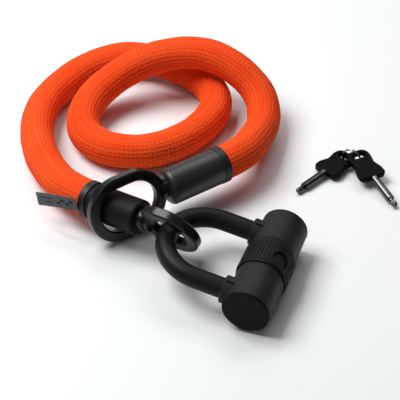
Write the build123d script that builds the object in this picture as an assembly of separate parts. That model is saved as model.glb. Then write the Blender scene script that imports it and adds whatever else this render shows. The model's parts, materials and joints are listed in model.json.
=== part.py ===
from build123d import *
import math
import os

# A textile tether lock: a rope with a large and a small eyelet, closed by a small U-lock,
# with two keys on a split ring. Millimetres. The origin is on the floor below the middle of
# the U-lock's legs, +X runs along the crossbar, +Y towards the shackle's bow, +Z up.

# ---- Driving dimensions ----
ROPE_D = 30.0
LINER_D = 24.0
CORE_D = 16.0

BAR_D = 37.2
BAR_TUBE_D = 34.0
BAR_TUBE_BORE = 26.0
BAR_NEAR = -50.0
BAR_FAR = 52.0
COVER_D = 40.6
COVER_NEAR = -13.3
COVER_FAR = 17.3
COVER_BORE = BAR_D + 0.3
COVER_TAPER = 5.0
COVER_RIBS = 44
BAR_Z = COVER_D / 2
U_PITCH = 9.13

LEG_X = 34.65
LEG_D = 14.0
COAT_D = 16.0
LEG_STRAIGHT = 45.3
LEG_END = -9.0
LEG_HOLE_D = 14.6
SOCKET_END = 45.5
ROLL_PIN_X = 43.8

KEY_X = -3.0
WINDOW_D = 14.4
WINDOW_TURN = 60.0
CORE_R = 7.0
CORE_CLEAR = 0.05
CORE_FRONT = -15.9
CLIP_Y = -9.0
CORE_BACK = -2.2
DISC_COUNT = 9
PIN_RADIUS_AT = 5.0
CAM_PIN_R = 1.0
BOLT_Y = 4.5
BOLT_HIGH = 7.0
BOLT_WIDE = 9.0
BOLT_TIP = 24.4
BOLT_CLEAR = 0.25
BOLT_TRAVEL = 7.1
YOKE_HIGH = 7.8
NOTCH_DEEP = 4.4

BIG_SLEEVE_D = 30.8
SMALL_SLEEVE_D = 29.2
SLEEVE_BORE = 22.0
COLLAR_D = 31.5
COLLAR_LONG = 7.0
TAIL_D = 12.0
TAIL_LONG = 18.0

BIG_RING = dict(half=7.0, outer=28.0, inner=18.9, thick=8.0)
BIG_CENTRE = Vector(25.9, 124.4, 28.2)
BIG_LONG = Vector(0.8017, -0.5970, 0.0297)
BIG_NORMAL = Vector(-0.5882, -0.7793, 0.2163)
BIG_NECK_D = 15.0
BIG_SLEEVE_AT = 36.0
BIG_RIM_AT = 92.2
BIG_NOSE = 5.0

SMALL_RING = dict(half=2.0, outer=24.6, inner=15.2, thick=8.3)
SMALL_CENTRE = Vector(4.7, 79.7, 33.2)
SMALL_LONG = Vector(0.2673, 0.9580, -0.1045)
SMALL_NORMAL = Vector(-0.8997, 0.2092, -0.3830)
SMALL_CUT_AT = 18.5
SMALL_NECK_D = 15.0
SMALL_SHOULDER_D = 19.0
SMALL_SHOULDER_AT = 21.2
SMALL_SLEEVE_AT = 27.8
SMALL_RIM_AT = 82.0
SMALL_NOSE = 2.4

HEAD_THICK = 5.5
HEAD_LONG = 33.0
HEAD_WIDE = 24.0
BOW_WIDE = 21.0
SLOT_LONG = 14.0
SLOT_WIDE = 6.4
KEYWAY_R = 3.85
KEYWAY_FLAT = -1.9
BLADE_D = 7.0
TANG_D = 4.4
BLADE_LONG = 26.0
TIP_D = 4.6
TIP_LONG = 9.0
RING_D = 16.4
WIRE_D = 1.1
RING_CENTRE = Vector(172.3, -24.0, 9.0)
RING_AZIMUTH = 80.0

# The rope's route, from inside the small eyelet's sleeve to inside the large eyelet's sleeve.
ROUTE = [
    (21.3, 139.1, 26.7), (31.2, 174.5, 22.9), (51, 203, 19), (78, 228, 15.3), (110, 248, 15.3),
    (147, 258, 16), (186, 254, 15.3), (218, 243, 16), (240, 217, 20), (246, 178, 18),
    (236, 137, 15.3), (209, 111, 15.3), (174, 106, 16), (137, 118, 16), (109, 143, 16),
    (103, 182, 15.3), (123, 211, 15.3), (162, 219, 20), (199, 200, 32), (219, 171, 44),
    (227, 133, 51), (224, 99, 43), (213, 71, 27), (185, 59, 17), (150, 57, 25),
    (115.7, 57.5, 31.5), (86.8, 79.0, 30.5),
]
ARC_SHARE = 0.45
JACKET_TUCK = 3.0


def along_x(radius, low, high):
    """A cylinder along X from low to high."""
    return Pos((low + high) / 2, 0, 0) * Rot(0, 90, 0) * Cylinder(radius, high - low)


def along_y(radius, low, high, x=0.0, z=0.0):
    """A cylinder along Y from low to high."""
    return Pos(x, (low + high) / 2, z) * Rot(90, 0, 0) * Cylinder(radius, high - low)


def along_z(radius, low, high, x=0.0, y=0.0):
    """A cylinder along Z from low to high."""
    return Pos(x, y, (low + high) / 2) * Cylinder(radius, high - low)


def block(low, high):
    """A box between two opposite corners."""
    size = [b - a for a, b in zip(low, high)]
    middle = [(a + b) / 2 for a, b in zip(low, high)]
    return Pos(*middle) * Box(*size)


def on_lock(shape):
    """Moves a shape from the U-lock's own frame, legs along +Y, to its place on the floor."""
    return Pos(0, 0, BAR_Z) * Rot(U_PITCH, 0, 0) * shape


# ---- Rope ----
def arc_radii(points):
    """For each corner of the route, the largest arc that its two runs allow."""
    points = [Vector(*p) for p in points]
    radii = []
    for a, b, c in zip(points, points[1:], points[2:]):
        turn = math.radians((b - a).get_angle(c - b))
        shorter = min((b - a).length, (c - b).length)
        radii.append(ARC_SHARE * shorter / math.tan(turn / 2))
    return radii


def rope_tube(points, outer, inner=0.0):
    """A tube swept along the route."""
    wire = FilletPolyline(*points, radius=arc_radii(ROUTE))
    start = Plane(origin=wire @ 0, z_dir=wire % 0)
    ring = Circle(outer / 2)
    if inner:
        ring = ring - Circle(inner / 2)
    return sweep(start * ring, path=wire)


def between_rims():
    """The route again, from just inside one sleeve's collar to just inside the other's."""
    first, second = Vector(*ROUTE[0]), Vector(*ROUTE[1])
    last, before = Vector(*ROUTE[-1]), Vector(*ROUTE[-2])
    small_rim = SMALL_CENTRE + SMALL_LONG * (SMALL_RIM_AT - JACKET_TUCK)
    big_rim = BIG_CENTRE + BIG_LONG * (BIG_RIM_AT - JACKET_TUCK)
    start = first + (second - first).normalized() * (small_rim - first).length
    end = last + (before - last).normalized() * (big_rim - last).length
    return [tuple(start)] + ROUTE[1:-1] + [tuple(end)]


def rope_parts():
    short = between_rims()
    return {
        "rope_jacket": rope_tube(short, ROPE_D, LINER_D),
        "rope_liner": rope_tube(short, LINER_D, CORE_D),
        "rope_core": rope_tube(ROUTE, CORE_D),
    }


# ---- Eyelets and their sleeves ----
def stadium(radius, half):
    """A rounded slot outline with its long side along X."""
    return SlotCenterToCenter(2 * half, 2 * radius)


def ring_blank(half, outer, inner, thick):
    """A flat ring, round-ended, centred on the origin with chamfered edges."""
    ring = extrude(stadium(outer, half) - stadium(inner, half), thick / 2, both=True)
    rims = ring.edges().filter_by(lambda e: abs(abs(e.center().Z) - thick / 2) < 0.01)
    return chamfer(rims, 1.2)


def shank(diameter, low, high, thin, end):
    """An eyelet's round shank: a neck, and a thinner tail inside the sleeve."""
    return along_x(diameter / 2, low, high) + along_x(thin / 2, high, end)


def big_eyelet():
    ring = ring_blank(**BIG_RING)
    reach = BIG_RING["half"] + BIG_RING["outer"]
    return ring + shank(BIG_NECK_D, reach - 5, BIG_SLEEVE_AT, TAIL_D, BIG_SLEEVE_AT + TAIL_LONG)


def small_eyelet():
    ring = ring_blank(**SMALL_RING)
    reach = SMALL_RING["half"] + SMALL_RING["outer"]
    wide = SMALL_RING["outer"] + 1
    ring = ring - block((SMALL_CUT_AT, -wide, -wide), (reach + 1, wide, wide))
    low = SMALL_CUT_AT - 1.5
    shoulder = along_x(SMALL_SHOULDER_D / 2, SMALL_SHOULDER_AT, SMALL_SLEEVE_AT)
    shoulder = chamfer(shoulder.edges().filter_by(GeomType.CIRCLE).sort_by(Axis.X)[0], 1.2)
    return ring + shoulder + shank(SMALL_NECK_D, low, SMALL_SLEEVE_AT, TAIL_D, SMALL_SLEEVE_AT + TAIL_LONG)


def sleeve_parts(name, outer, start, end, nose_round):
    """A sleeve along X from start: body, rim collar, core socket, lock nut and cross pin."""
    body = along_x(outer / 2, start, end - COLLAR_LONG)
    nose = body.edges().filter_by(GeomType.CIRCLE).sort_by(Axis.X)[0]
    body = fillet(nose, nose_round)
    body = body - along_x(SLEEVE_BORE / 2, start + 6, end)
    tail_bore = TAIL_D / 2 + 0.05
    body = body - along_x(tail_bore, start - 1, start + 7)
    pin_at = start + 12
    pin = along_z(1.5, -outer / 2 + 0.6, outer / 2 - 0.6, x=pin_at)
    nut = along_x(10.9, start + 6.2, start + TAIL_LONG) - along_x(tail_bore, start, end) - pin
    collar = along_x(COLLAR_D / 2, end - COLLAR_LONG, end)
    collar = collar - along_x(ROPE_D / 2 + 0.15, end - JACKET_TUCK - 0.2, end + 1)
    collar = collar - along_x(CORE_D / 2 + 0.4, start, end)
    rims = collar.edges().filter_by(GeomType.CIRCLE).sort_by(SortBy.RADIUS)[-2:]
    collar = chamfer(rims, 0.5)
    socket = along_x(10.9, start + 20, end - COLLAR_LONG - 0.2) - along_x(CORE_D / 2 + 0.4, start, end)
    return {
        f"{name}_sleeve": body - pin,
        f"{name}_sleeve_collar": collar,
        f"{name}_core_socket": socket,
        f"{name}_lock_nut": nut,
        f"{name}_cross_pin": pin,
    }


def on_axis(centre, long, normal):
    """The place of a frame whose X runs along an eyelet and whose Z is the ring's normal."""
    return Plane(origin=centre, x_dir=long, z_dir=normal).location


def label_parts():
    """A stiff folded label that stands out from under the small sleeve's collar."""
    low, high = Vector(10.0, 161.4, 30.4), Vector(15.2, 199.6, 22.4)
    tag_long, tag_high, tag_thick = 39.0, 12.0, 1.2
    side = (high - low).normalized()
    place = Plane(origin=(low + high) / 2, x_dir=side, z_dir=side.cross(Vector(0, 0, 1))).location
    tag = Box(tag_long, tag_high, tag_thick)
    rows = []
    for x in (-tag_long / 2 + 1.2, tag_long / 2 - 1.2):
        for step in range(6):
            y = (step - 2.5) * 1.7
            rows.append(Pos(x, y, -tag_thick / 2 - 0.1) * Box(0.4, 1.1, 0.2))
    return {"label_tag": place * tag, "label_stitching": place * Compound(rows)}


def tether_parts():
    big = on_axis(BIG_CENTRE, BIG_LONG, BIG_NORMAL)
    small = on_axis(SMALL_CENTRE, SMALL_LONG, SMALL_NORMAL)
    parts = rope_parts()
    big_end = sleeve_parts("large", BIG_SLEEVE_D, BIG_SLEEVE_AT, BIG_RIM_AT, BIG_NOSE)
    small_end = sleeve_parts("small", SMALL_SLEEVE_D, SMALL_SLEEVE_AT, SMALL_RIM_AT, SMALL_NOSE)
    big_end["large_eyelet"] = big_eyelet() - big_end["large_cross_pin"]
    small_end["small_eyelet"] = small_eyelet() - small_end["small_cross_pin"]
    parts.update({name: big * shape for name, shape in big_end.items()})
    parts.update({name: small * shape for name, shape in small_end.items()})
    parts.update(label_parts())
    return parts


# ---- Shackle ----
def u_path(low):
    """The shackle's centre line, from low on one leg, round the bow, to low on the other."""
    near = Line((-LEG_X, low, 0), (-LEG_X, LEG_STRAIGHT, 0))
    bow = ThreePointArc((-LEG_X, LEG_STRAIGHT, 0), (0, LEG_STRAIGHT + LEG_X, 0), (LEG_X, LEG_STRAIGHT, 0))
    far = Line((LEG_X, LEG_STRAIGHT, 0), (LEG_X, low, 0))
    return Wire([near, bow, far])


def u_bar(low, outer, inner=0.0):
    """A round bar, or a tube, along the shackle's centre line."""
    ring = Circle(outer / 2)
    if inner:
        ring = ring - Circle(inner / 2)
    return sweep(Plane((-LEG_X, low, 0), z_dir=(0, 1, 0)) * ring, path=u_path(low))


def shackle_parts():
    bar = u_bar(LEG_END, LEG_D)
    feet = bar.edges().filter_by(GeomType.CIRCLE).sort_by(Axis.Y)[:2]
    bar = chamfer(feet, 1.0)
    face = LEG_X - LEG_D / 2
    for side in (-1, 1):
        near, far = sorted((side * (face - 1), side * (face + NOTCH_DEEP)))
        low, high = BOLT_Y - BOLT_HIGH / 2 - 0.5, BOLT_Y + BOLT_HIGH / 2 + 0.5
        bar = bar - block((near, low, -LEG_D), (far, high, LEG_D))
    coat_start = BAR_D / 2 + 0.8
    return {
        "shackle_bar": on_lock(bar),
        "shackle_coating": on_lock(u_bar(coat_start, COAT_D, LEG_D)),
    }


# ---- Crossbar ----
def leg_holes(diameter, low, high):
    """Cutters for the two leg holes."""
    return [along_y(diameter / 2, low, high, x=side * LEG_X) for side in (-1, 1)]


def bar_tube():
    tube = along_x(BAR_TUBE_D / 2, BAR_NEAR + 3, BAR_FAR - 3)
    tube = tube - along_x(BAR_TUBE_BORE / 2, BAR_NEAR, BAR_FAR)
    for hole in leg_holes(LEG_HOLE_D, 0, BAR_D):
        tube = tube - hole
    return tube - along_y(CORE_R + 0.6, -BAR_D, 0, x=KEY_X)


def bar_shells():
    """The plastic skin in two lengths, which meet under the dust cover."""
    seam = COVER_FAR - 5
    skin = along_x(BAR_D / 2, BAR_NEAR + 2, BAR_FAR - 2) - along_x(BAR_TUBE_D / 2, BAR_NEAR, BAR_FAR)
    for hole in leg_holes(COAT_D + 1.0, 0, BAR_D):
        skin = skin - hole
    skin = skin - along_y(CORE_R + 0.2, -BAR_D, 0, x=KEY_X)
    wide = BAR_D
    near = skin & block((BAR_NEAR, -wide, -wide), (seam - 0.05, wide, wide))
    far = skin & block((seam + 0.05, -wide, -wide), (BAR_FAR, wide, wide))
    return near, far


def end_cap(face, inward):
    """An end cap: a chamfered disc and a plug in the steel tube."""
    low, high = sorted((face, face + 2 * inward))
    disc = along_x(BAR_D / 2, low, high)
    edge = disc.edges().filter_by(GeomType.CIRCLE).sort_by(Axis.X)
    disc = chamfer(edge[0] if inward > 0 else edge[-1], 1.0)
    low, high = sorted((face + 2 * inward, face + 3 * inward))
    step = along_x(BAR_TUBE_D / 2 - 0.1, low, high)
    low, high = sorted((face + 3 * inward, face + 4.2 * inward))
    return disc + step + along_x(BAR_TUBE_BORE / 2 - 0.05, low, high)


def leg_collar(side):
    """A moulded collar on the crossbar where a leg enters, with two small tabs."""
    x = side * LEG_X
    top = BAR_D / 2 + 4.2
    collar = along_y(10.9, BAR_D / 2 - 5, top, x=x)
    rim = collar.edges().filter_by(GeomType.CIRCLE).sort_by(Axis.Y)[-1]
    collar = chamfer(rim, 0.8)
    for turn in (-1, 1):
        collar = collar + block((x - 2.4, BAR_D / 2 - 6, turn * 10.4 - 1.6),
                                (x + 2.4, top - 1.4, turn * 10.4 + 1.6))
    collar = collar - along_y((COAT_D + 0.7) / 2, 0, top + 1, x=x)
    return collar - along_x(BAR_D / 2 + 0.02, x - 20, x + 20)


def lock_housing():
    body = along_x(BAR_TUBE_BORE / 2 - 0.05, KEY_X - 11, KEY_X + 11)
    body = body - along_y(CORE_R + CORE_CLEAR, -BAR_D, CORE_BACK, x=KEY_X)
    body = body - along_y(CORE_R + 0.3, CORE_BACK - 0.1, 1.0, x=KEY_X)
    ring = along_y(CORE_R + 1.2, CLIP_Y - 0.5, CLIP_Y + 0.5, x=KEY_X)
    return body - ring - bolt_channel(BOLT_WIDE + 7.4)


def bolt_channel(wide):
    """The space the bolts slide in."""
    low = BOLT_Y - BOLT_HIGH / 2 - BOLT_CLEAR
    high = BOLT_Y + BOLT_HIGH / 2 + BOLT_CLEAR
    return block((-40, low, -wide / 2), (40, high, wide / 2))


def leg_socket(side):
    """A steel plug in the tube that holds a leg and guides its bolt."""
    start = KEY_X + side * 11.2
    low, high = sorted((start, side * SOCKET_END))
    plug = along_x(BAR_TUBE_BORE / 2 - 0.05, low, high)
    plug = plug - along_y(LEG_HOLE_D / 2, LEG_END - 0.6, BAR_D, x=side * LEG_X)
    reach = sorted((start - side, side * LEG_X))
    span = BOLT_WIDE / 2 + BOLT_CLEAR
    top, bottom = BOLT_Y + BOLT_HIGH / 2 + BOLT_CLEAR, BOLT_Y - BOLT_HIGH / 2 - BOLT_CLEAR
    plug = plug - block((reach[0], bottom, -span), (reach[1], top, span))
    relief = sorted((start - side, start + side * (BOLT_TRAVEL + 0.5)))
    wide = YOKE_HIGH + BOLT_CLEAR
    plug = plug - block((relief[0], bottom, -wide), (relief[1], top, wide))
    return plug - roll_pin(side)


def roll_pin(side):
    """The pin that keeps a socket in the tube."""
    return along_z(1.5, -BAR_TUBE_D / 2 + 0.3, BAR_TUBE_D / 2 - 0.3, x=side * ROLL_PIN_X)


def retaining_clip():
    low, high = CLIP_Y - 0.4, CLIP_Y + 0.4
    ring = along_y(CORE_R + 1.1, low, high, x=KEY_X) - along_y(CORE_R - 0.5, low - 1, high + 1, x=KEY_X)
    return ring - block((KEY_X - 1.6, low - 1, 0), (KEY_X + 1.6, high + 1, 12))


def drill_guard():
    """A hardened ring round the keyhole, in front of the cylinder."""
    ring = along_y(CORE_R + 0.15, CORE_FRONT - 1.1, CORE_FRONT - 0.1, x=KEY_X)
    return ring - along_y(BLADE_D / 2 + 0.3, -20, -15, x=KEY_X)


def crossbar_parts():
    near_shell, far_shell = bar_shells()
    tube = bar_tube()
    pins = {}
    for side, name in ((-1, "near"), (1, "far")):
        pins[name] = roll_pin(side)
        tube = tube - pins[name]
    parts = {
        "crossbar_tube": tube,
        "bar_shell_near": near_shell,
        "bar_shell_far": far_shell,
        "end_cap_near": end_cap(BAR_NEAR, 1),
        "end_cap_far": end_cap(BAR_FAR, -1),
        "leg_collar_near": leg_collar(-1),
        "leg_collar_far": leg_collar(1),
        "leg_socket_near": leg_socket(-1),
        "leg_socket_far": leg_socket(1),
        "roll_pins": Compound([pins["near"], pins["far"]]),
        "lock_housing": lock_housing(),
        "cylinder_clip": retaining_clip(),
        "drill_guard": drill_guard(),
    }
    return {name: on_lock(shape) for name, shape in parts.items()}


# ---- Dust cover ----
def dust_cover():
    """The ribbed sleeve that turns over the keyhole, with its round window."""
    taper_at = COVER_FAR - COVER_TAPER
    valley = COVER_D / 2 - 0.5
    taper = Cone(valley, COVER_BORE / 2 + 0.35, COVER_TAPER)
    sleeve = along_x(valley, COVER_NEAR, taper_at)
    sleeve = sleeve + Pos(taper_at + COVER_TAPER / 2, 0, 0) * Rot(0, 90, 0) * taper
    rib = block((COVER_NEAR + 2.4, -0.75, COVER_D / 2 - 1.2), (taper_at, 0.75, COVER_D / 2))
    ribs = [Rot(360 * k / COVER_RIBS, 0, 0) * rib for k in range(COVER_RIBS)]
    land = along_x(COVER_D / 2 - 0.1, COVER_NEAR + 1, taper_at)
    half_land = WINDOW_D / 2 + 1.6
    land = land & block((COVER_NEAR, -COVER_D, -half_land), (COVER_FAR, 0, half_land))
    sleeve = sleeve + ribs + land - along_x(COVER_BORE / 2, COVER_NEAR - 1, COVER_FAR + 1)
    window = along_y(WINDOW_D / 2, -COVER_D, 0, x=KEY_X)
    return on_lock(Rot(-WINDOW_TURN, 0, 0) * (sleeve - window))


# ---- Lock cylinder and bolts ----
def half_round(low, high):
    """The key's section, a circle with a flat, cut along Y."""
    flat = block((KEY_X - 5, low, KEYWAY_FLAT), (KEY_X + 5, high, 5))
    return along_y(KEYWAY_R, low, high, x=KEY_X) & flat


def core_barrel():
    barrel = along_y(CORE_R, CORE_FRONT, CORE_BACK, x=KEY_X)
    barrel = barrel - along_y(5.5, CORE_FRONT + 1.4, CORE_BACK - 1.0, x=KEY_X)
    low, high = CLIP_Y - 0.45, CLIP_Y + 0.45
    groove = along_y(CORE_R + 1, low, high, x=KEY_X) - along_y(CORE_R - 0.55, low - 1, high + 1, x=KEY_X)
    barrel = barrel - groove
    keyway = half_round(CORE_FRONT - 1, CORE_FRONT + 2)
    channel = block((KEY_X - 0.8, CORE_FRONT + 2, -CORE_R - 1), (KEY_X + 0.8, CORE_BACK - 1.4, -5.0))
    return barrel - keyway - channel


def detainer_discs():
    """Turning discs with half-round holes for the key, in a row."""
    discs = []
    pitch = (CORE_BACK - 1.0 - CORE_FRONT - 1.4) / DISC_COUNT
    for k in range(DISC_COUNT):
        low = CORE_FRONT + 1.4 + k * pitch + 0.1
        disc = along_y(5.4, low, low + pitch - 0.25, x=KEY_X)
        hole = half_round(low - 1, low + pitch)
        notch = block((KEY_X - 0.7, low - 1, -6), (KEY_X + 0.7, low + pitch, -4.7))
        discs.append(disc - hole - notch)
    return Compound(discs)


def core_cam():
    """The cam behind the cylinder, with two pins that draw the bolts."""
    cam = along_y(CORE_R, CORE_BACK + 0.05, 0.4, x=KEY_X)
    angle = math.radians(45)
    for side in (-1, 1):
        x = KEY_X - side * PIN_RADIUS_AT * math.sin(angle)
        z = side * PIN_RADIUS_AT * math.cos(angle)
        cam = cam + along_y(CAM_PIN_R, 0.3, BOLT_Y + 2.8, x=x, z=z)
    return cam - along_y(1.5, CORE_BACK - 1, 1, x=KEY_X)


def cam_screw():
    return along_y(2.0, 0.4, 0.95, x=KEY_X) + along_y(1.5, CORE_BACK + 0.05, 0.4, x=KEY_X)


def core_parts():
    sidebar = along_y(0.55, CORE_FRONT + 2.2, CORE_BACK - 1.6, x=KEY_X, z=-5.85)
    parts = {
        "core_barrel": core_barrel(),
        "detainer_discs": detainer_discs(),
        "sidebar": sidebar,
        "core_cam": core_cam(),
        "cam_screw": cam_screw(),
    }
    return {name: on_lock(shape) for name, shape in parts.items()}


def bolt(side):
    """A bolt bar with a slotted yoke for its cam pin; the far bolt's yoke is above."""
    low, high = BOLT_Y - BOLT_HIGH / 2, BOLT_Y + BOLT_HIGH / 2
    tip = side * BOLT_TIP
    start = KEY_X + side * 9.5
    bar = block((min(start, tip), low, -BOLT_WIDE / 2), (max(start, tip), high, BOLT_WIDE / 2))
    nose = bar.edges().filter_by(Axis.Z).sort_by(Axis.X)
    bar = chamfer(nose[-2:] if side > 0 else nose[:2], 0.8)
    pin_x = KEY_X - side * PIN_RADIUS_AT * math.sin(math.radians(45))
    yoke_end = pin_x - side * 3.2
    z_low, z_high = sorted((side * 2.2, side * YOKE_HIGH))
    yoke = block((min(yoke_end, start + side), low, z_low), (max(yoke_end, start + side), high - 0.6, z_high))
    slot_half = CAM_PIN_R + 0.4
    z_near, z_far = sorted((side * 0.0, side * (PIN_RADIUS_AT + slot_half)))
    slot = block((pin_x - slot_half, low - 1, z_near), (pin_x + slot_half, high + 1, z_far))
    return on_lock(bar + yoke - slot)


# ---- Keys ----
def key_head():
    """The moulded head, from the blade's shoulder at X = 0 to the bow at X = HEAD_LONG."""
    half, bow = HEAD_WIDE / 2, BOW_WIDE / 2
    waist = bow - 1.4
    upper = [(0, half), (8, half), (16, waist), (24, bow), (HEAD_LONG, bow - 0.5)]
    lower = [(x, -y) for x, y in reversed(upper)]
    outline = Polygon(*upper, *lower, align=None)
    outline = fillet(outline.vertices().group_by(Axis.X)[0], 3.5)
    outline = fillet(outline.vertices().group_by(Axis.X)[-1], 6.5)
    flanks = outline.vertices().filter_by(lambda v: 7.5 < v.X < 24.5)
    outline = fillet(flanks, 4.0)
    head = extrude(outline, HEAD_THICK / 2, both=True)
    rims = head.edges().filter_by(lambda e: abs(abs(e.center().Z) - HEAD_THICK / 2) < 0.01)
    head = chamfer(rims, 0.8)
    slot = Rot(0, 0, 90) * SlotOverall(SLOT_LONG, SLOT_WIDE)
    head = head - Pos(HEAD_LONG - 6.2, 0, 0) * extrude(slot, HEAD_THICK, both=True)
    return head - along_x(TANG_D / 2, -1, 14)


def key_blade():
    """The half-round shaft with a groove along its back and a beaded tip, along -X from the head."""
    shaft = along_x(BLADE_D / 2, -BLADE_LONG, -0.05) + along_x(TANG_D / 2, -0.1, 13.9)
    shaft = shaft - block((-BLADE_LONG - 1, -BLADE_D, -BLADE_D), (-2, BLADE_D, -1.6))
    shaft = shaft - block((-BLADE_LONG - 1, -0.6, BLADE_D / 2 - 0.9), (-3, 0.6, BLADE_D))
    end = -BLADE_LONG - TIP_LONG
    neck = along_x(TIP_D / 2 - 0.8, end + 1, -BLADE_LONG + 1)
    beads = [Pos(end + TIP_D / 2, 0, 0) * Sphere(TIP_D / 2)]
    for k in (1, 2):
        x = end + 1.0 + 2.9 * k
        bead = along_x(TIP_D / 2, x, x + 1.7)
        flat = block((x - 1, -4, TIP_D / 2 - 0.6), (x + 3, 4, 4))
        beads.append(bead - Rot(70 * (k - 1) - 20, 0, 0) * flat)
    return shaft + neck + beads


def key_place(tip, azimuth, pitch):
    """Puts a key's tip at a point, with the head along the azimuth and tilted up."""
    reach = BLADE_LONG + TIP_LONG
    return Pos(*tip) * Rot(0, 0, azimuth) * Rot(0, -pitch, 0) * Pos(reach, 0, 0)


def key_ring():
    """A split ring's double wire, standing upright."""
    place = Pos(*RING_CENTRE) * Rot(0, 0, RING_AZIMUTH) * Rot(90, 0, 0)
    turns = [Pos(0, 0, z) * Torus(RING_D / 2, WIRE_D / 2) for z in (-WIRE_D / 2, WIRE_D / 2)]
    return place * (turns[0] + turns[1])


def key_parts():
    places = {
        "a": key_place((118.4, 9.2, 3.2), -25.7, 1.9),
        "b": key_place((128.3, -74.0, 3.0), 46.0, 8.5),
    }
    parts = {"key_ring": key_ring()}
    for name, place in places.items():
        parts[f"key_{name}_blade"] = place * key_blade()
        parts[f"key_{name}_head"] = place * key_head()
    return parts


def all_parts():
    parts = tether_parts()
    parts.update(shackle_parts())
    parts.update(crossbar_parts())
    parts["dust_cover"] = dust_cover()
    parts.update(core_parts())
    parts["bolt_near"] = bolt(-1)
    parts["bolt_far"] = bolt(1)
    parts.update(key_parts())
    return parts


os.makedirs("parts", exist_ok=True)
print("rope arcs, mm:", [round(radius) for radius in arc_radii(ROUTE)])
for name, shape in all_parts().items():
    export_step(shape, f"parts/{name}.step")
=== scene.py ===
"""The looks of a textile tether lock closed by a small U-lock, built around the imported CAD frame."""

import json
import math

import bmesh
import bpy
import numpy as np
from mathutils import Matrix, Vector


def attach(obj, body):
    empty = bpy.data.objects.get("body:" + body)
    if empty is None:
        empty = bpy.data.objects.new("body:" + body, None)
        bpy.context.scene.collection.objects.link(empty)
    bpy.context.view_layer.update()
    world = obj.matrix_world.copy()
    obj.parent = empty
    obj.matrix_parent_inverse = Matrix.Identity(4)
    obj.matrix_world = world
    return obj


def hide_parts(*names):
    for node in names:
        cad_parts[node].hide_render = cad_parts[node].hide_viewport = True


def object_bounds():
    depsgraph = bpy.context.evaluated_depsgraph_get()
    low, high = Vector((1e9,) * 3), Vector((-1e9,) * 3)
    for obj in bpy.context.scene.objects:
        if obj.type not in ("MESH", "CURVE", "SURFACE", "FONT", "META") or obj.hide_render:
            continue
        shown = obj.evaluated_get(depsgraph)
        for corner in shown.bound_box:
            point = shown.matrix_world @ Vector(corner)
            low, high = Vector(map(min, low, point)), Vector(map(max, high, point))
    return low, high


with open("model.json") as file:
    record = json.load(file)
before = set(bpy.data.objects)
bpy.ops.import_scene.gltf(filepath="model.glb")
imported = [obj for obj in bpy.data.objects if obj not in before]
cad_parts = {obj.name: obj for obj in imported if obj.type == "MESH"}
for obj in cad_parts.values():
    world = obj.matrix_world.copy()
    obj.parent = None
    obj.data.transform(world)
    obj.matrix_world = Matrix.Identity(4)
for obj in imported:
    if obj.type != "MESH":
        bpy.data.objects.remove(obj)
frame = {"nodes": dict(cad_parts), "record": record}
CAD_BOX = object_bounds()
NODES = frame["nodes"]

# ---- The rope, in metres ----
ROPE_D = 0.030
# The control points of its centre line, from inside the small sleeve to inside the large one.
ROUTE = [
    (0.0213, 0.1391, 0.0267), (0.0312, 0.1745, 0.0229), (0.051, 0.203, 0.019), (0.078, 0.228, 0.0153),
    (0.110, 0.248, 0.0153), (0.147, 0.258, 0.016), (0.186, 0.254, 0.0153), (0.218, 0.243, 0.016),
    (0.240, 0.217, 0.020), (0.246, 0.178, 0.018), (0.236, 0.137, 0.0153), (0.209, 0.111, 0.0153),
    (0.174, 0.106, 0.016), (0.137, 0.118, 0.016), (0.109, 0.143, 0.016), (0.103, 0.182, 0.0153),
    (0.123, 0.211, 0.0153), (0.162, 0.219, 0.020), (0.199, 0.200, 0.032), (0.219, 0.171, 0.044),
    (0.227, 0.133, 0.051), (0.224, 0.099, 0.043), (0.213, 0.071, 0.027), (0.185, 0.059, 0.017),
    (0.150, 0.057, 0.025), (0.1157, 0.0575, 0.0315), (0.0868, 0.0790, 0.0305),
]
ROUTE_ORDER = 3
ROUTE_STEPS = 48
# How much of the route each sleeve and its collar hide.
SMALL_TUCK = 0.0170
LARGE_TUCK = 0.0132
# The jacket narrows by RIM_SHRINK over its last RIM_TUCK, where it goes under a collar.
RIM_TUCK = 0.003
RIM_SHRINK = 0.0006

# The knit: wales round the rope, the length of a stitch, and the mesh's steps for each.
WALES = 26
AROUND_PER_WALE = 4
STITCH = 0.0033
RINGS_PER_STITCH = 3
# The groove between two wales, the swell of a stitch, and how far its V lags beside its middle.
GROOVE = 0.00042
STITCH_SWELL = 0.00026
V_SLANT = 1.5
JACKET_INSET = 0.0001
# Slow unevenness along the rope: height, radians per metre and phase.
WANDER = ((0.00012, 95.0, 0.0), (0.00009, 231.0, 1.3))

# ---- The label, in metres: its line from the collar outward, its size, and how far it bows ----
LABEL_LINE = ((0.0100, 0.1614, 0.0304), (0.0152, 0.1996, 0.0224))
LABEL_HIGH = 0.0120
LABEL_THICK = 0.0007
LABEL_BOW = 0.0009
LABEL_ARCH = 0.0012
LABEL_CURL = 0.0004
LABEL_COLUMNS = 52
LABEL_ROWS = 16
WARP_THREADS = 60
WEFT_THREADS = 24
# Plain dark bars woven into the label: left, right, low and high, as shares of its length and height.
LABEL_BARS = [
    (0.07, 0.42, 0.62, 0.72), (0.20, 0.42, 0.30, 0.40), (0.52, 0.62, 0.28, 0.50),
    (0.62, 0.72, 0.50, 0.72), (0.72, 0.82, 0.28, 0.50), (0.82, 0.92, 0.50, 0.72),
]
# The hem: where its two rows stand along the label, and each stitch's place, length and thread.
HEM_SHARES = (0.03, 0.97)
HEM_STITCHES = 6
HEM_STITCH_FROM = 0.25
HEM_STITCH_LONG = 0.55
HEM_STITCH_POINTS = 5
THREAD_RADIUS = 0.00016
THREAD_SIDES = 6
THREAD_TIP = 0.45

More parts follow.
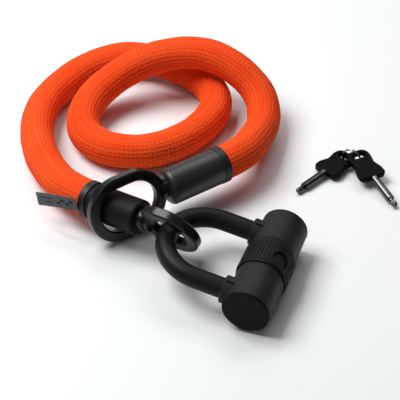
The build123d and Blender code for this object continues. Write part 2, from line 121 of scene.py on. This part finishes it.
# ---- Camera, floor and lights ----
CAMERA_AT = Vector((-0.6487, -0.1821, 0.64235))
CAMERA_LOOK = Vector((0.7254, 0.2631, -0.6361))
LENS = 108.0
SENSOR = 36.0
CLIP_START = 0.01
FLOOR_HALF = 4.0
# The floor lies this far under the object, so that no two faces share a plane.
FLOOR_DROP = 0.0002
# Each light's azimuth from +X and height in degrees, its distance, size and power.
LIGHTS = {
    "key": (96.0, 60.0, 1.5, (0.9, 0.9), 27.0),
    "back": (5.0, 56.0, 1.6, (1.4, 0.7), 9.0),
    "rim": (40.0, 17.0, 1.6, (1.2, 0.4), 2.2),
    "fill": (185.0, 38.0, 1.8, (1.5, 1.0), 2.0),
}
WORLD_STRENGTH = 0.07

# ---- Finishes ----
PLASTICS = {
    "black_plastic": dict(dark=(0.012, 0.0125, 0.012), light=(0.017, 0.0175, 0.017),
                          grain=0.00002, rough=(0.42, 0.56), edge=0.0003, shine=0.15),
    "key_plastic": dict(dark=(0.0012, 0.0012, 0.0012), light=(0.0024, 0.0024, 0.0024),
                        grain=0.00003, rough=(0.5, 0.62), edge=0.0002, shine=0.08),
    "cover_plastic": dict(dark=(0.004, 0.0042, 0.004), light=(0.007, 0.0072, 0.007),
                          grain=0.00002, rough=(0.46, 0.6), edge=0.0002, shine=0.15),
    "cap_plastic": dict(dark=(0.002, 0.0022, 0.002), light=(0.0035, 0.0037, 0.0035),
                        grain=0.00002, rough=(0.5, 0.62), edge=0.0002, shine=0.1),
}
COATINGS = {
    "black_metal": dict(dark=0.008, light=0.013, rough=(0.36, 0.5), worn=0.35, edge=0.0004, shine=0.3),
    "ring_black": dict(dark=0.006, light=0.010, rough=(0.18, 0.28), worn=0.45, edge=0.00015, shine=0.35),
    "link_black": dict(dark=0.006, light=0.010, rough=(0.21, 0.31), worn=0.45, edge=0.00015, shine=0.27),
    "sleeve_black": dict(dark=0.014, light=0.021, rough=(0.3, 0.42), worn=0.35, edge=0.0004, shine=0.45),
    "small_sleeve_black": dict(dark=0.006, light=0.009, rough=(0.45, 0.58), worn=0.35, edge=0.0004,
                               shine=0.1),
}
RUBBED_GREY = 0.03
METALS = {
    "hard_steel": dict(tint=(0.62, 0.60, 0.57), rough=(0.28, 0.42)),
    "key_steel": dict(tint=(0.12, 0.12, 0.12), rough=(0.22, 0.36)),
    "bright_wire": dict(tint=(0.36, 0.36, 0.36), rough=(0.10, 0.20)),
    "lock_brass": dict(tint=(0.80, 0.58, 0.28), rough=(0.22, 0.36)),
}
BRAIDS = {
    "inner_textile": dict(dark=(0.05, 0.05, 0.05), light=(0.16, 0.16, 0.16)),
    "core_fibre": dict(dark=(0.62, 0.58, 0.45), light=(0.85, 0.82, 0.70)),
}
# Nodes whose finish differs from the rest of their slot.
SPECIAL = {
    "large_eyelet": "ring_black", "small_eyelet": "link_black",
    "large_sleeve": "sleeve_black", "small_sleeve": "small_sleeve_black",
    "dust_cover": "cover_plastic", "end_cap_near": "cap_plastic", "end_cap_far": "cap_plastic",
}
VINYL_DARK, VINYL_LIGHT = (0.005, 0.0052, 0.005), (0.009, 0.0092, 0.009)
# The yarn's crests in two mottled oranges and a paler streak, and a darker colour painted as shade into
# the grooves between its stitches and wales.
YARN, YARN_MOTTLED, YARN_STREAK = (0.96, 0.062, 0.007), (1.0, 0.084, 0.011), (1.0, 0.118, 0.020)
YARN_PAINTED_SHADE = (0.52, 0.022, 0.003)
YARN_SHEEN = (1.0, 0.35, 0.12, 1.0)
LABEL_DARK, LABEL_LIGHT, LABEL_BAR = (0.055, 0.058, 0.060), (0.115, 0.120, 0.124), (0.012, 0.012, 0.013)
HEM_THREAD = (0.42, 0.43, 0.44)
FLOOR_DARK, FLOOR_LIGHT = (0.76, 0.78, 0.78), (0.79, 0.81, 0.81)


# ---- Materials ----
class Paint:
    """A material with one Principled shader, and short calls that add its nodes."""

    def __init__(self, name, **sockets):
        self.material = bpy.data.materials.new(name)
        self.material.use_nodes = True
        self.tree = self.material.node_tree
        self.shader = self.tree.nodes["Principled BSDF"]
        for socket, value in sockets.items():
            self.shader.inputs[socket.replace("_", " ")].default_value = value

    def plug(self, socket, value):
        if isinstance(value, bpy.types.NodeSocket):
            self.tree.links.new(value, socket)
        else:
            socket.default_value = value

    def node(self, kind, inputs=None, **settings):
        made = self.tree.nodes.new("ShaderNode" + kind)
        for key, value in settings.items():
            setattr(made, key, value)
        for key, value in (inputs or {}).items():
            self.plug(made.inputs[key], value)
        return made

    def math(self, operation, *values):
        return self.node("Math", dict(enumerate(values)), operation=operation).outputs[0]

    def stretched(self, vector, scale):
        return self.node("Mapping", {"Vector": vector, "Scale": scale}).outputs[0]

    def turned(self, vector, angles):
        return self.node("Mapping", {"Vector": vector, "Rotation": angles}).outputs[0]

    def place(self):
        """Object coordinates."""
        return self.node("TexCoord").outputs["Object"]

    def noise(self, scale, detail=2.0, vector=None, rough=0.5):
        inputs = {"Scale": scale, "Detail": detail, "Roughness": rough}
        inputs["Vector"] = vector if vector is not None else self.place()
        return self.node("TexNoise", inputs).outputs["Fac"]

    def between(self, value, low, high, to_low=0.0, to_high=1.0):
        """The value carried from one range to another, and kept inside it."""
        inputs = {"Value": value, "From Min": low, "From Max": high, "To Min": to_low, "To Max": to_high}
        return self.node("MapRange", inputs).outputs["Result"]

    def mix(self, share, first, second):
        """Two colours mixed. A Mix node's own colour sockets are inputs 6 and 7 and output 2."""
        made = self.node("Mix", data_type="RGBA")
        self.plug(made.inputs["Factor"], share)
        for socket, value in ((made.inputs[6], first), (made.inputs[7], second)):
            self.plug(socket, value if isinstance(value, bpy.types.NodeSocket) else (*value, 1.0))
        return made.outputs[2]

    def bump(self, height, distance, under=None):
        inputs = {"Height": height, "Distance": distance, "Strength": 1.0}
        if under is not None:
            inputs["Normal"] = under
        return self.node("Bump", inputs).outputs["Normal"]

    def soft_edges(self, radius):
        return self.node("Bevel", {"Radius": radius}, samples=4).outputs["Normal"]

    def set(self, **sockets):
        for socket, value in sockets.items():
            self.plug(self.shader.inputs[socket.replace("_", " ")], value)
        return self.material


def grey(value):
    return (value, value, value)


def shaded(tint, share):
    return tuple(share * channel for channel in tint)


def moulded_plastic(name, dark, light, grain, rough, edge, shine):
    """Black plastic with a fine spark-eroded grain, faint clouding and softened edges."""
    paint = Paint(name, Specular_IOR_Level=shine)
    cloud = paint.noise(scale=60.0, detail=3.0)
    spark = paint.noise(scale=3200.0)
    colour = paint.mix(paint.between(cloud, 0.35, 0.65), dark, light)
    roughness = paint.between(paint.noise(scale=140.0, detail=4.0), 0.3, 0.7, *rough)
    normal = paint.bump(spark, grain, paint.soft_edges(edge))
    return paint.set(Base_Color=colour, Roughness=roughness, Normal=normal)


def coated_metal(name, dark, light, rough, worn, edge, shine):
    """Black coated steel: a low orange peel, a few fine rubs and slightly brighter patches."""
    paint = Paint(name, Specular_IOR_Level=shine)
    cloud = paint.noise(scale=45.0, detail=4.0)
    peel = paint.noise(scale=900.0, detail=1.0)
    drawn = paint.stretched(paint.turned(paint.place(), (0.3, 0.5, 0.9)), (1.0, 9.0, 3.0))
    rubs = paint.noise(scale=260.0, detail=5.0, vector=drawn, rough=0.7)
    rubbed = paint.between(rubs, 0.62, 0.78, 0.0, worn)
    colour = paint.mix(paint.between(cloud, 0.35, 0.65), grey(dark), grey(light))
    colour = paint.mix(rubbed, colour, grey(RUBBED_GREY))
    roughness = paint.math("SUBTRACT", paint.between(cloud, 0.3, 0.7, *reversed(rough)),
                           paint.math("MULTIPLY", rubbed, 0.15))
    normal = paint.bump(peel, 0.00002, paint.soft_edges(edge))
    return paint.set(Base_Color=colour, Roughness=roughness, Normal=normal)


def bare_metal(name, tint, rough):
    """Machined metal with fine streaks from the tool."""
    paint = Paint(name, Metallic=1.0)
    drawn = paint.stretched(paint.place(), (0.6, 14.0, 14.0))
    streaks = paint.noise(scale=400.0, detail=4.0, vector=drawn, rough=0.6)
    stain = paint.noise(scale=70.0, detail=3.0)
    colour = paint.mix(paint.between(stain, 0.3, 0.7), tint, shaded(tint, 0.72))
    roughness = paint.between(streaks, 0.3, 0.7, *rough)
    normal = paint.bump(streaks, 0.000006, paint.soft_edges(0.0002))
    return paint.set(Base_Color=colour, Roughness=roughness, Normal=normal)


def vinyl(name):
    """The shackle's extruded coat: satin, with drawn lines and a faint haze."""
    paint = Paint(name, Specular_IOR_Level=0.14)
    haze = paint.noise(scale=38.0, detail=4.0)
    drawn = paint.stretched(paint.place(), (1.0, 0.16, 1.0))
    scuff = paint.noise(scale=900.0, detail=3.0, vector=drawn)
    colour = paint.mix(paint.between(haze, 0.35, 0.65), VINYL_DARK, VINYL_LIGHT)
    roughness = paint.between(scuff, 0.3, 0.7, 0.38, 0.5)
    return paint.set(Base_Color=colour, Roughness=roughness, Normal=paint.bump(scuff, 0.000012))


def braided(name, dark, light):
    """The plain braids inside the rope."""
    paint = Paint(name, Roughness=0.85, Sheen_Weight=0.2)
    braid = paint.noise(scale=700.0, detail=3.0)
    return paint.set(Base_Color=paint.mix(braid, dark, light), Normal=paint.bump(braid, 0.0001))


def knit():
    """The jacket: rows of V stitches from the mesh's own stitch coordinates, in orange-red yarn, with
    painted shade darkening the grooves between stitches and wales.
    """
    paint = Paint("knit_jacket", Roughness=0.85, Sheen_Weight=0.10, Sheen_Roughness=0.4,
                  Sheen_Tint=YARN_SHEEN, Specular_IOR_Level=0.12)
    coord = paint.node("UVMap", uv_map="stitches").outputs[0]
    axes = paint.node("SeparateXYZ", {0: coord})
    # From the middle of a wale, across is 0, and it is 0.5 in the groove beside it.
    across = paint.math("ABSOLUTE", paint.math("SUBTRACT", paint.math("FRACT", axes.outputs[0]), 0.5))
    course = paint.math("ADD", axes.outputs[1], paint.math("MULTIPLY", across, V_SLANT))
    leg = paint.math("ABSOLUTE", paint.math("SINE", paint.math("MULTIPLY", course, math.pi)))
    strand = paint.math("ABSOLUTE", paint.math("SINE", paint.math("MULTIPLY", across, 2 * math.pi)))
    fibre = paint.noise(scale=7.0, detail=3.0, vector=paint.stretched(coord, (3.0, 1.0, 1.0)))
    gap = paint.between(leg, 0.05, 0.45)
    seam = paint.between(paint.math("SUBTRACT", 0.5, across), 0.02, 0.16)
    height = paint.math("MULTIPLY", gap, paint.between(seam, 0.0, 1.0, 0.25, 1.0))
    height = paint.math("ADD", height, paint.math("MULTIPLY", strand, 0.2))
    height = paint.math("ADD", height, paint.math("MULTIPLY", fibre, 0.3))
    mottle = paint.between(paint.noise(scale=26.0, detail=3.0), 0.35, 0.65)
    drawn = paint.stretched(coord, (0.8, 0.02, 1.0))
    streak = paint.between(paint.noise(scale=1.0, vector=drawn), 0.35, 0.65)
    crest = paint.mix(mottle, YARN, YARN_MOTTLED)
    crest = paint.mix(paint.math("MULTIPLY", streak, 0.6), crest, YARN_STREAK)
    # Painted shade: a darker colour in the gaps between stitch legs and in the grooves between the
    # wales.
    painted_shade_mask = paint.math("MULTIPLY", gap, paint.between(seam, 0.0, 1.0, 0.35, 1.0))
    colour = paint.mix(paint.between(painted_shade_mask, 0.0, 0.75), YARN_PAINTED_SHADE, crest)
    return paint.set(Base_Color=colour, Normal=paint.bump(height, 0.0004))


def woven_label():
    """Dark grey woven tape: fine warp and weft, and plain darker bars woven in."""
    paint = Paint("label_cloth", Roughness=0.8, Sheen_Weight=0.15, Specular_IOR_Level=0.2)
    coord = paint.node("UVMap", uv_map="weave").outputs[0]
    axes = paint.node("SeparateXYZ", {0: coord})
    along, up = axes.outputs[0], axes.outputs[1]
    warp = paint.math("SINE", paint.math("MULTIPLY", along, 2 * math.pi * WARP_THREADS))
    weft = paint.math("SINE", paint.math("MULTIPLY", up, 2 * math.pi * WEFT_THREADS))
    height = paint.math("MULTIPLY", warp, weft)
    shade = paint.mix(paint.between(height, -1.0, 1.0), LABEL_DARK, LABEL_LIGHT)
    for left, right, low, high in LABEL_BARS:
        inside = paint.math("GREATER_THAN", along, left)
        for test, value, edge in (("GREATER_THAN", up, low), ("LESS_THAN", along, right),
                                  ("LESS_THAN", up, high)):
            inside = paint.math("MULTIPLY", inside, paint.math(test, value, edge))
        shade = paint.mix(inside, shade, LABEL_BAR)
    return paint.set(Base_Color=shade, Normal=paint.bump(height, 0.00006))


def thread(name, tint):
    """Stitching thread with a faint twist."""
    paint = Paint(name, Roughness=0.7, Sheen_Weight=0.3)
    ply = paint.noise(scale=2600.0)
    return paint.set(Base_Color=paint.mix(ply, shaded(tint, 0.6), tint), Normal=paint.bump(ply, 0.00003))


def studio_white():
    """A white floor with the faintest unevenness."""
    paint = Paint("studio_white", Roughness=0.6, Specular_IOR_Level=0.25)
    cloud = paint.noise(scale=3.0)
    return paint.set(Base_Color=paint.mix(cloud, FLOOR_DARK, FLOOR_LIGHT))


def paint_nodes():
    """Gives every CAD node its finish: its own where it has one, and its material slot's if not."""
    finishes = {"black_vinyl": vinyl("black_vinyl")}
    for recipe, table in ((braided, BRAIDS), (coated_metal, COATINGS), (moulded_plastic, PLASTICS),
                          (bare_metal, METALS)):
        for name, look in table.items():
            finishes[name] = recipe(name, **look)
    for part in frame["record"]["subparts"]:
        finish = finishes.get(SPECIAL.get(part["node"], part["material_slot"]))
        if finish is not None:
            slots = NODES[part["node"]].data.materials
            slots.clear()
            slots.append(finish)


# ---- Mesh helpers ----
def placed(name, data):
    made = bpy.data.objects.new(name, data)
    bpy.context.scene.collection.objects.link(made)
    return made


def tether_piece(name, data):
    made = placed(name, data)
    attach(made, "tether")
    return made


def smooth(mesh):
    for polygon in mesh.polygons:
        polygon.use_smooth = True


def mesh_from(name, points, faces):
    mesh = bpy.data.meshes.new(name)
    mesh.from_pydata([tuple(p) for p in points], [], faces)
    mesh.validate()
    smooth(mesh)
    return mesh


def spline_points(route):
    """Points along the smooth NURBS line that the route's points control."""
    curve = bpy.data.curves.new("route", "CURVE")
    curve.dimensions = "3D"
    curve.resolution_u = ROUTE_STEPS
    spline = curve.splines.new("NURBS")
    spline.points.add(len(route) - 1)
    for point, spot in zip(spline.points, route):
        point.co = (*spot, 1.0)
    spline.order_u = ROUTE_ORDER
    spline.use_endpoint_u = True
    holder = placed("route", curve)
    line = bpy.data.meshes.new_from_object(holder)
    points = np.array([v.co for v in line.vertices], float)
    bpy.data.objects.remove(holder)
    bpy.data.meshes.remove(line)
    return points


def even_steps(points, spacing, skip_start, skip_end):
    """The same line in even steps, without a stretch at each end."""
    lengths = np.r_[0.0, np.cumsum(np.linalg.norm(np.diff(points, axis=0), axis=1))]
    low, high = skip_start, lengths[-1] - skip_end
    count = int(round((high - low) / spacing)) + 1
    at = np.linspace(low, high, count)
    return np.stack([np.interp(at, lengths, points[:, axis]) for axis in range(3)], axis=1)


def travelling_frames(line):
    """Two unit vectors across the line at each point, carried along without twist."""
    along = np.gradient(line, axis=0)
    along /= np.linalg.norm(along, axis=1)[:, None]
    side = np.cross(along[0], (0.0, 0.0, 1.0))
    sides = []
    for direction in along:
        side = side - direction * (side @ direction)
        side = side / np.linalg.norm(side)
        sides.append(side)
    sides = np.array(sides)
    return sides, np.cross(sides, along)


def tube(made, line, radius):
    """A closed round tube along a short line, added to a bmesh."""
    rings = []
    for index, spot in enumerate(line):
        ahead = line[min(index + 1, len(line) - 1)] - line[max(index - 1, 0)]
        across = ahead.cross(Vector((0.3, 0.2, 1.0))).normalized()
        other = ahead.cross(across).normalized()
        thick = radius * (THREAD_TIP if index in (0, len(line) - 1) else 1.0)
        rings.append([made.verts.new(spot + thick * (
            math.cos(2 * math.pi * k / THREAD_SIDES) * across
            + math.sin(2 * math.pi * k / THREAD_SIDES) * other)) for k in range(THREAD_SIDES)])
    for low, high in zip(rings, rings[1:]):
        for k in range(THREAD_SIDES):
            after = (k + 1) % THREAD_SIDES
            made.faces.new((low[k], low[after], high[after], high[k]))
    made.faces.new(rings[0][::-1])
    made.faces.new(rings[-1])


# ---- The rope's jacket ----
def jacket_radius(ring, wale):
    """The jacket's radius at each ring and each step round it: grooves between the wales, each
    stitch swelling a little, slow unevenness, and a narrower rim at each end."""
    groove = np.cos(math.pi * wale) ** 4
    slant = V_SLANT * np.abs(wale % 1.0 - 0.5)
    swell = np.abs(np.sin(math.pi * ((ring / RINGS_PER_STITCH)[:, None] + slant[None, :])))
    travelled = ring * STITCH / RINGS_PER_STITCH
    wander = sum(height * np.sin(travelled * waves + phase) for height, waves, phase in WANDER)
    radius = ROPE_D / 2 - GROOVE * groove[None, :] - STITCH_SWELL * (1 - swell)
    radius = radius - JACKET_INSET + wander[:, None]
    end = np.minimum(travelled, travelled[-1] - travelled)
    return radius - RIM_SHRINK * np.clip(1 - end / RIM_TUCK, 0, 1)[:, None]


def add_stitch_coordinates(mesh, rows, wale):
    """A UV map that counts wales round the rope and stitches along it."""
    corner = np.zeros((len(mesh.polygons) * 4, 2), np.float32)
    lower = np.repeat(np.arange(rows - 1), len(wale)) / RINGS_PER_STITCH
    left = np.tile(wale, rows - 1)
    step_u, step_v = 1 / AROUND_PER_WALE, 1 / RINGS_PER_STITCH
    for index, (du, dv) in enumerate(((0, 0), (step_u, 0), (step_u, step_v), (0, step_v))):
        corner[index::4, 0] = left + du
        corner[index::4, 1] = lower + dv
    mesh.uv_layers.new(name="stitches").data.foreach_set("uv", corner.ravel())


def knit_rope():
    """The jacket as a mesh along the route, with its knit in relief."""
    line = even_steps(spline_points(ROUTE), STITCH / RINGS_PER_STITCH, SMALL_TUCK, LARGE_TUCK)
    side, up = travelling_frames(line)
    rows, around = len(line), WALES * AROUND_PER_WALE
    wale = np.arange(around) / AROUND_PER_WALE
    angle = 2 * math.pi * wale / WALES
    radius = jacket_radius(np.arange(rows), wale)
    points = (line[:, None, :] + radius[:, :, None] * (
        np.cos(angle)[None, :, None] * side[:, None, :] + np.sin(angle)[None, :, None] * up[:, None, :]))
    faces = []
    for row in range(rows - 1):
        for k in range(around):
            after = (k + 1) % around
            faces.append((row * around + k, row * around + after,
                          (row + 1) * around + after, (row + 1) * around + k))
    mesh = mesh_from("knit_jacket", points.reshape(-1, 3), faces)
    add_stitch_coordinates(mesh, rows, wale)
    mesh.materials.append(knit())
    rope = tether_piece("knit_jacket", mesh)
    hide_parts("rope_jacket", "rope_liner", "rope_core")


# ---- The label ----
class LabelShape:
    """Where each spot of the label is: a strip on edge that bows, arches and curls a little."""

    def __init__(self):
        self.inner, outer = (Vector(end) for end in LABEL_LINE)
        self.along = outer - self.inner
        self.length = self.along.length
        self.along.normalize()
        self.face = self.along.cross(Vector((0, 0, 1))).normalized()
        if self.face.x > 0:
            self.face.negate()
        self.up = self.face.cross(self.along)
        if self.up.z < 0:
            self.up.negate()

    def at(self, share, rise, out):
        """The spot at a share of the length and of the height, on the front (1) or back (-1)."""
        bow = LABEL_BOW * math.sin(math.pi * share)
        curl = LABEL_CURL * math.cos(math.pi * rise) * share
        lift = LABEL_HIGH * (rise - 0.5) + LABEL_ARCH * math.sin(math.pi * share)
        return (self.inner + self.along * self.length * share + self.up * lift
                + self.face * (bow + curl + out * LABEL_THICK / 2))


def label_mesh(shape):
    """The strip's two faces and its border, with a UV map for the weave."""
    columns, rows, step = LABEL_COLUMNS, LABEL_ROWS, LABEL_ROWS + 1
    points, faces = [], []
    for out in (1, -1):
        base = len(points)
        for i in range(columns + 1):
            for j in range(rows + 1):
                points.append(shape.at(i / columns, j / rows, out))
        for i in range(columns):
            for j in range(rows):
                a = base + i * step + j
                quad = (a, a + step, a + step + 1, a + 1)
                faces.append(quad if out == 1 else quad[::-1])
    back = (columns + 1) * step
    border = [i * step for i in range(columns + 1)]
    border += [columns * step + j for j in range(1, rows + 1)]
    border += [i * step + rows for i in range(columns - 1, -1, -1)]
    border += list(range(rows - 1, 0, -1))
    for this, after in zip(border, border[1:] + border[:1]):
        faces.append((after, this, this + back, after + back))
    mesh = mesh_from("woven_label", points, faces)
    weave = mesh.uv_layers.new(name="weave")
    for loop in mesh.loops:
        spot = loop.vertex_index % back
        weave.data[loop.index].uv = (1 - (spot // step) / columns, (spot % step) / rows)
    return mesh


def hem_mesh(shape):
    """Two rows of short stitches on each face of the strip."""
    stitches = bmesh.new()
    for out in (1, -1):
        for share in HEM_SHARES:
            for step in range(HEM_STITCHES):
                rises = [(step + HEM_STITCH_FROM + HEM_STITCH_LONG * k / (HEM_STITCH_POINTS - 1))
                         / HEM_STITCHES for k in range(HEM_STITCH_POINTS)]
                tube(stitches, [shape.at(share, rise, out) for rise in rises], THREAD_RADIUS)
    mesh = bpy.data.meshes.new("label_hem_stitches")
    stitches.to_mesh(mesh)
    stitches.free()
    smooth(mesh)
    return mesh


def cloth_label():
    """The label: a woven strip with a stitched hem at each end."""
    shape = LabelShape()
    strip = label_mesh(shape)
    strip.materials.append(woven_label())
    label = tether_piece("woven_label", strip)
    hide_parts("label_tag")
    hem = hem_mesh(shape)
    hem.materials.append(thread("label_thread", HEM_THREAD))
    sewn = tether_piece("label_hem_stitches", hem)
    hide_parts("label_stitching")


# ---- The studio ----
def aimed(name, data, at, target):
    """An object at a place whose -Z points at a target."""
    made = placed(name, data)
    look = (Vector(target) - Vector(at)).normalized()
    right = look.cross(Vector((0, 0, 1))).normalized()
    up = right.cross(look)
    made.matrix_world = Matrix.Translation(at) @ Matrix((right, up, -look)).transposed().to_4x4()
    return made


def camera():
    data = bpy.data.cameras.new("camera")
    data.lens = LENS
    data.sensor_width = SENSOR
    data.clip_start = CLIP_START
    bpy.context.scene.camera = aimed("camera", data, CAMERA_AT, CAMERA_AT + CAMERA_LOOK)


def area_light(name, at, target, size, power):
    data = bpy.data.lights.new(name, "AREA")
    data.shape = "RECTANGLE"
    data.size, data.size_y = size
    data.energy = power
    aimed(name, data, at, target)


def studio():
    """The pale floor, the even background and the four soft lights."""
    mesh = bpy.data.meshes.new("studio_floor")
    corners = [(x * FLOOR_HALF, y * FLOOR_HALF, 0) for x, y in ((-1, -1), (1, -1), (1, 1), (-1, 1))]
    mesh.from_pydata(corners, [], [(0, 1, 2, 3)])
    mesh.materials.append(studio_white())
    floor = placed("studio_floor", mesh)
    floor.location.z = -FLOOR_DROP
    world = bpy.data.worlds.new("studio")
    bpy.context.scene.world = world
    world.use_nodes = True
    background = world.node_tree.nodes["Background"].inputs
    background["Color"].default_value = (1, 1, 1, 1)
    background["Strength"].default_value = WORLD_STRENGTH
    middle = (CAD_BOX[0] + CAD_BOX[1]) / 2
    target = Vector((middle.x, middle.y, 0.0))
    for name, (azimuth, rise, away, size, power) in LIGHTS.items():
        turn, lift = math.radians(azimuth), math.radians(rise)
        flat = Vector((math.cos(turn), math.sin(turn), 0.0)) * math.cos(lift)
        area_light(name, target + away * (flat + Vector((0, 0, math.sin(lift)))), target, size, power)
    bpy.context.scene.view_settings.view_transform = "Standard"


camera()
studio()
paint_nodes()
knit_rope()
cloth_label()
